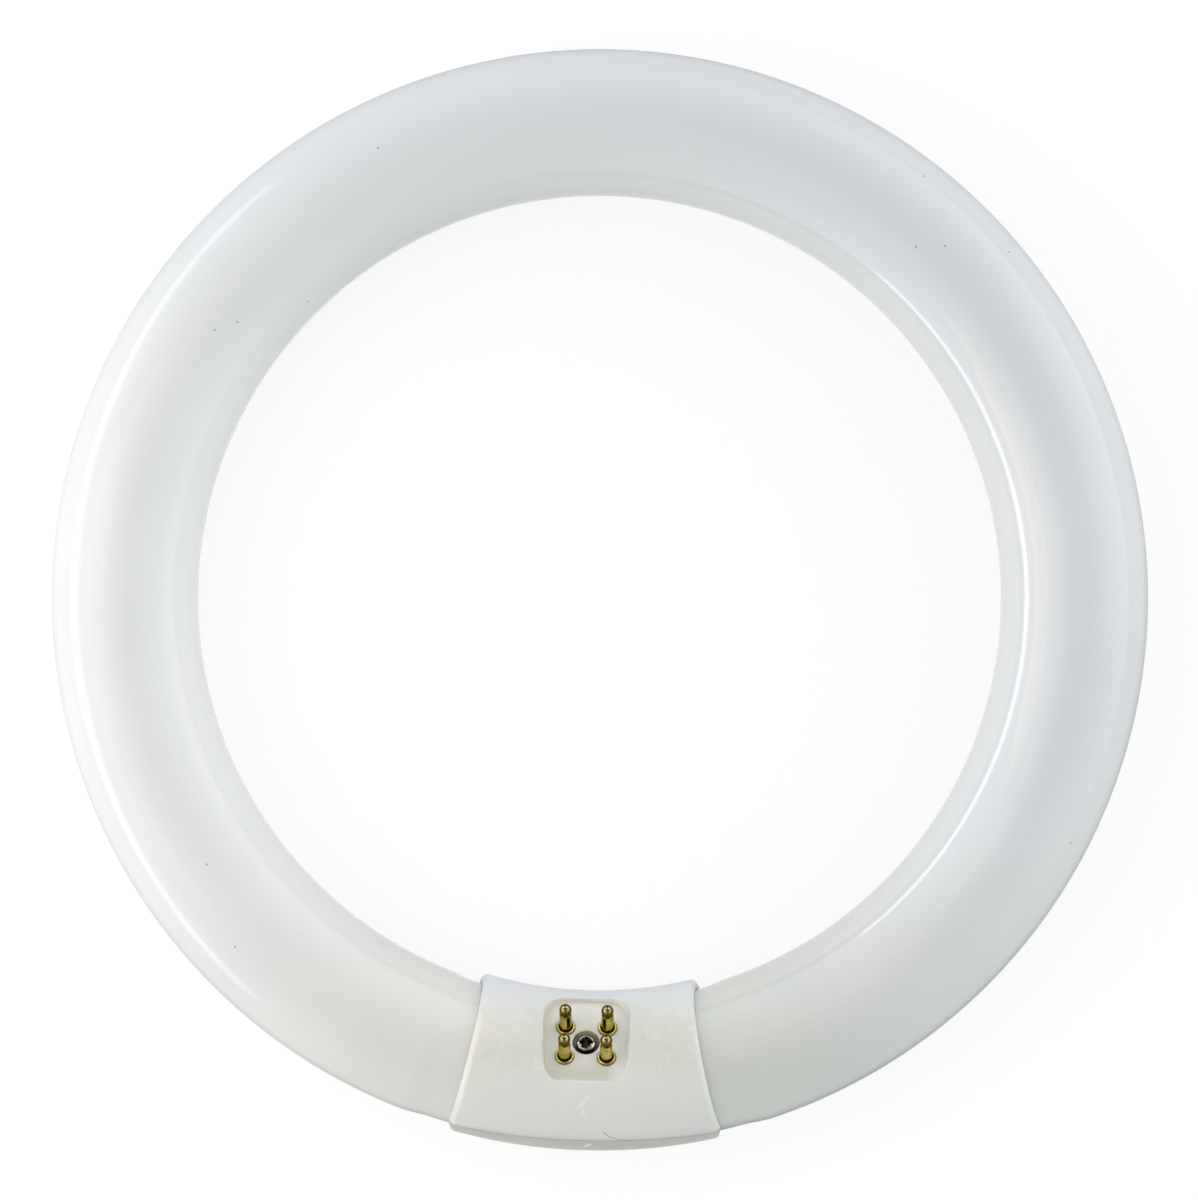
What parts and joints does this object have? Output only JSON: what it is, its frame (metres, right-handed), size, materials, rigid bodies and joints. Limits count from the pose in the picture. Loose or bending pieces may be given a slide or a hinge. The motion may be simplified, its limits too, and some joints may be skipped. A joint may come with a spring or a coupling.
{
  "type": "circular fluorescent tube",
  "caption": "Ring-shaped white fluorescent lamp whose ends meet in a clamped two-part plastic cap with leaning brass contact pins.",
  "frame": {"origin": "under the middle of the ring, on the surface that the lamp lies on", "axes": "+Z along the ring's axis, up from that surface; the cap is at -Y; +X to the right seen from the pin side with the cap below"},
  "size_m": [0.2096, 0.2103, 0.0338],
  "materials": {
    "coated_glass": "glossy white, coated inside",
    "cap_plastic": "satin moulded white",
    "pin_brass": "turned",
    "screw_steel": "zinc plated",
    "lead_metal": "drawn wire"
  },
  "bodies": {
    "root": {"glass_tube": "coated_glass", "cap_front_shell": "cap_plastic", "cap_rear_shell": "cap_plastic", "clamp_screw": "screw_steel", "contact_pin_left_inner": "pin_brass", "contact_pin_left_outer": "pin_brass", "contact_pin_right_inner": "pin_brass", "contact_pin_right_outer": "pin_brass", "lead_wire_left_inner": "lead_metal", "lead_wire_left_outer": "lead_metal", "lead_wire_right_inner": "lead_metal", "lead_wire_right_outer": "lead_metal"}
  },
  "joints": []
}
